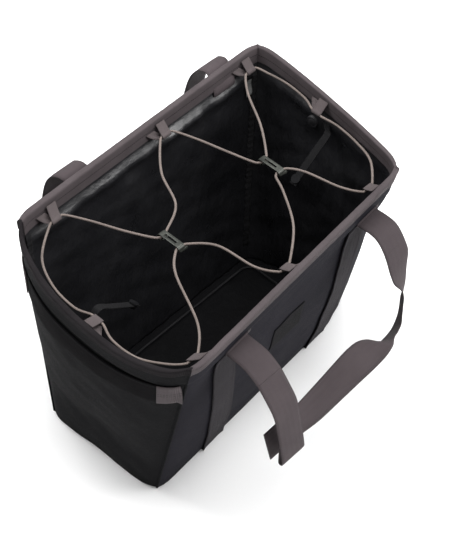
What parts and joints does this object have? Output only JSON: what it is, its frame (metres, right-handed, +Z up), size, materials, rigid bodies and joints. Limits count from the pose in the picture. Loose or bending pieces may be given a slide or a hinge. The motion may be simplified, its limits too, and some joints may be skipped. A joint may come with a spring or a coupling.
{
  "type": "foldable tote bag",
  "caption": "Open-top rectangular fabric tote with an elastic cord net and hooks over the opening, two webbing handles, side grab straps and a lift-up base board.",
  "frame": {"origin": "under the middle of the base, on the resting surface", "axes": "+Z up, +X along the long side, +Y towards the back long side, the labelled long side faces -Y"},
  "size_m": [0.4216, 0.4582, 0.3214],
  "materials": {
    "outer_fabric": "coated nylon, fine weave",
    "side_fabric": "coated nylon, fine weave",
    "lining": "glossy coated lining",
    "webbing": "ribbed nylon webbing",
    "binding": "grosgrain tape",
    "cord": "braided elastic cord",
    "hook_metal": "satin gunmetal",
    "snap_metal": "satin black",
    "stiffener_plastic": "matte sheet",
    "board_cover": "lining cloth over a stiff board",
    "label": "satin, blank",
    "care_tape": "satin tape, blank"
  },
  "bodies": {
    "bag": {"bottom_fabric": "side_fabric", "front_panel": "outer_fabric", "back_panel": "outer_fabric", "left_gusset": "side_fabric", "right_gusset": "side_fabric", "front_lining": "lining", "back_lining": "lining", "left_lining": "lining", "right_lining": "lining", "front_stiffener": "stiffener_plastic", "back_stiffener": "stiffener_plastic", "front_band": "outer_fabric", "back_band": "outer_fabric", "left_band": "side_fabric", "right_band": "side_fabric", "front_binding": "binding", "back_binding": "binding", "left_binding": "binding", "right_binding": "binding", "front_strips": "webbing", "back_strips": "webbing", "base_straps": "webbing", "front_handle_ends": "webbing", "back_handle_ends": "webbing", "handle_tacks": "webbing", "left_grab_strap": "webbing", "right_grab_strap": "webbing", "corner_piping": "side_fabric", "tab_back_left": "webbing", "tab_back_mid": "webbing", "tab_back_right": "webbing", "tab_right": "webbing", "tab_front_right": "webbing", "tab_front_mid": "webbing", "tab_front_left": "webbing", "tab_left": "webbing", "cord_back_left": "cord", "cord_back_right": "cord", "cord_right_back": "cord", "cord_right_front": "cord", "cord_front_right": "cord", "cord_front_left": "cord", "cord_left_front": "cord", "cord_left_back": "cord", "snap_anchors": "side_fabric", "label_patch": "label", "care_label": "care_tape", "seam_tapes": "lining"},
    "front_handle_root": {"front_handle_legs": "webbing"},
    "front_handle_grip": {"front_handle_grip": "webbing"},
    "back_handle_root": {"back_handle_legs": "webbing"},
    "back_handle_grip": {"back_handle_grip": "webbing"},
    "hook_left": {"hook_left": "hook_metal"},
    "hook_right": {"hook_right": "hook_metal"},
    "snap_strap_left": {"snap_strap_left": "side_fabric", "snap_socket": "snap_metal"},
    "snap_strap_right": {"snap_strap_right": "side_fabric", "snap_stud": "snap_metal"},
    "base_board": {"base_board": "board_cover", "board_piping": "board_cover"}
  },
  "joints": [
    {"name": "front_handle_swing", "type": "hinge", "parent": "bag", "child": "front_handle_root", "pos_m": [0, -0.13622, 0.282], "axis": [-1, 0, 0], "range_deg": [0, 90]},
    {"name": "front_handle_straighten", "type": "hinge", "parent": "front_handle_root", "child": "front_handle_grip", "pos_m": [0, -0.18503, 0.26545], "axis": [-1, 0, 0], "range_deg": [0, 70]},
    {"name": "back_handle_swing", "type": "hinge", "parent": "bag", "child": "back_handle_root", "pos_m": [0, 0.13622, 0.282], "axis": [1, 0, 0], "range_deg": [0, 90]},
    {"name": "back_handle_straighten", "type": "hinge", "parent": "back_handle_root", "child": "back_handle_grip", "pos_m": [0, 0.18503, 0.26545], "axis": [1, 0, 0], "range_deg": [0, 70]},
    {"name": "hook_left_release", "type": "hinge", "parent": "bag", "child": "hook_left", "pos_m": [-0.081, 0.013, 0.308], "axis": [-1, 0, 0], "range_deg": [0, 100]},
    {"name": "hook_right_release", "type": "hinge", "parent": "bag", "child": "hook_right", "pos_m": [0.089, 0.013, 0.308], "axis": [-1, 0, 0], "range_deg": [0, 100]},
    {"name": "snap_strap_left_bend", "type": "hinge", "parent": "bag", "child": "snap_strap_left", "pos_m": [-0.195, 0, 0.288], "axis": [0, -1, 0], "range_deg": [-50, 30]},
    {"name": "snap_strap_right_bend", "type": "hinge", "parent": "bag", "child": "snap_strap_right", "pos_m": [0.195, 0, 0.288], "axis": [0, 1, 0], "range_deg": [-50, 30]},
    {"name": "base_board_lift", "type": "hinge", "parent": "bag", "child": "base_board", "pos_m": [0, 0.087, 0.0036], "axis": [-1, 0, 0], "range_deg": [0, 80]}
  ],
  "couplings": [
    {"joint": "front_handle_straighten", "follows": "front_handle_swing", "ratio": 0.775},
    {"joint": "back_handle_straighten", "follows": "back_handle_swing", "ratio": 0.775}
  ]
}
